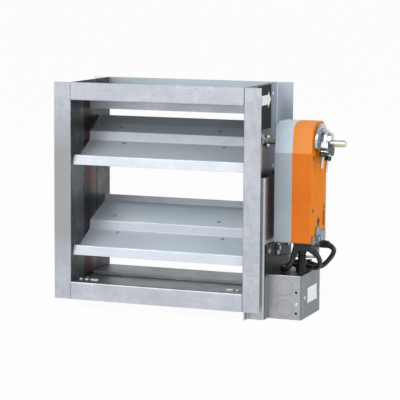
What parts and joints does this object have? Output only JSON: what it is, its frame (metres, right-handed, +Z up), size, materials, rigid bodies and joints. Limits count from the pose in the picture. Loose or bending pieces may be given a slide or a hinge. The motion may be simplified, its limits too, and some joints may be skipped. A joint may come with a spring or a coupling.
{
  "type": "motorized fire damper",
  "caption": "Flanged rectangular duct damper with parallel folded blades, linkage, a side-mounted spring-return actuator and a junction box.",
  "frame": {"origin": "middle of the clear opening, in the plane of the front flange", "axes": "X along the blades towards the actuator, Y through the duct from front to rear, Z up"},
  "size_m": [0.4817, 0.1651, 0.3789],
  "materials": {
    "galvanized_frame": "satin spangled zinc",
    "galvanized_blade": "satin spangled zinc",
    "seal_strip": "thin rolled stainless",
    "zinc_shaft": "pale yellow zinc plate",
    "zinc_screw": "bright zinc plate",
    "bearing_bronze": "sintered bronze",
    "bracket_steel": "galvanized",
    "box_steel": "galvanized",
    "label_black": "printed film",
    "housing_grey": "smooth moulded",
    "housing_orange": "smooth moulded",
    "clamp_chrome": "bright plate",
    "clamp_dark": "dark plated",
    "lead_rubber": "matt jacket",
    "connector_zinc": "cast",
    "gear_steel": "machined",
    "motor_can": "drawn can",
    "board_green": "solder mask",
    "switch_black": "moulded",
    "splice_red": "moulded"
  },
  "bodies": {
    "frame": {"left_jamb": "galvanized_frame", "right_jamb": "galvanized_frame", "head_channel": "galvanized_frame", "sill_channel": "galvanized_frame", "corner_cleats": "galvanized_frame", "frame_rivets": "zinc_screw", "head_stop": "galvanized_frame", "sill_stop": "galvanized_frame", "left_jamb_seal": "seal_strip", "right_jamb_seal": "seal_strip", "axle_bearings": "bearing_bronze", "airflow_label": "label_black", "actuator_bracket": "bracket_steel", "junction_box_plate": "bracket_steel", "sheet_screws": "zinc_screw", "junction_box": "box_steel", "box_cover": "box_steel", "box_cover_screws": "zinc_screw", "box_ground_screw": "zinc_screw", "knockouts": "box_steel", "lead_connectors": "connector_zinc", "ribbed_sleeve": "lead_rubber", "wire_splices": "splice_red", "actuator_base": "housing_grey", "actuator_cover": "housing_orange", "actuator_screws": "zinc_screw", "anti_rotation_strap": "bracket_steel", "lead_boots": "lead_rubber", "motor_case": "motor_can", "circuit_board": "board_green", "gear_plates": "gear_steel", "gear_arbors": "gear_steel", "spring_barrel": "gear_steel", "return_spring": "gear_steel", "limit_switches": "switch_black", "thermal_cutout": "switch_black", "power_lead": "lead_rubber", "open_switch_lead": "lead_rubber", "closed_switch_lead": "lead_rubber"},
    "upper_drive": {"upper_blade": "galvanized_blade", "drive_shaft": "zinc_shaft", "upper_stub_axle": "zinc_shaft", "upper_axle_saddles": "galvanized_blade", "upper_saddle_rivets": "zinc_screw", "drive_crank": "zinc_shaft", "output_hub": "clamp_chrome", "output_gear": "gear_steel", "clamp_jaw": "clamp_dark", "clamp_u_bolt": "clamp_chrome", "clamp_nuts": "clamp_dark"},
    "lower_driven": {"lower_blade": "galvanized_blade", "lower_stub_axles": "zinc_shaft", "lower_axle_saddles": "galvanized_blade", "lower_saddle_rivets": "zinc_screw", "driven_crank": "zinc_shaft"},
    "linkage": {"tie_bar": "zinc_shaft"},
    "first_gear": {"first_reduction_gear": "gear_steel"},
    "second_gear": {"second_reduction_gear": "gear_steel"},
    "rotor": {"motor_rotor": "gear_steel"},
    "slider": {"lock_slider": "switch_black"}
  },
  "joints": [
    {"name": "upper_blade_turn", "type": "hinge", "parent": "frame", "child": "upper_drive", "pos_m": [0, 0.08255, 0.0905], "axis": [1, 0, 0], "range_deg": [-31, 59]},
    {"name": "lower_blade_turn", "type": "hinge", "parent": "frame", "child": "lower_driven", "pos_m": [0, 0.08255, -0.0619], "axis": [1, 0, 0], "range_deg": [-31.05, 59.05]},
    {"name": "tie_bar_swing", "type": "hinge", "parent": "upper_drive", "child": "linkage", "pos_m": [0.163, 0.05441, 0.09752], "axis": [1, 0, 0], "range_deg": [-59.05, 31.05]},
    {"name": "first_gear_turn", "type": "hinge", "parent": "frame", "child": "first_gear", "pos_m": [0.21, 0.08255, 0.047], "axis": [1, 0, 0], "range_deg": [-131.16, 68.94]},
    {"name": "second_gear_turn", "type": "hinge", "parent": "frame", "child": "second_gear", "pos_m": [0.216, 0.08255, 0.005], "axis": [1, 0, 0], "range_deg": [-172.27, 327.83]},
    {"name": "rotor_turn", "type": "hinge", "parent": "frame", "child": "rotor", "pos_m": [0.235, 0.08255, -0.0385], "axis": [1, 0, 0], "range_deg": [-1030.21, 541.32]},
    {"name": "lock_slide", "type": "slide", "parent": "frame", "child": "slider", "axis": [0, 0, 1], "range_m": [0, 0.012]}
  ],
  "couplings": [
    {"joint": "lower_blade_turn", "follows": "upper_blade_turn", "ratio": 1},
    {"joint": "tie_bar_swing", "follows": "upper_blade_turn", "ratio": -1},
    {"joint": "first_gear_turn", "follows": "upper_blade_turn", "ratio": -2.2222},
    {"joint": "second_gear_turn", "follows": "upper_blade_turn", "ratio": 5.5556},
    {"joint": "rotor_turn", "follows": "upper_blade_turn", "ratio": -17.46}
  ]
}
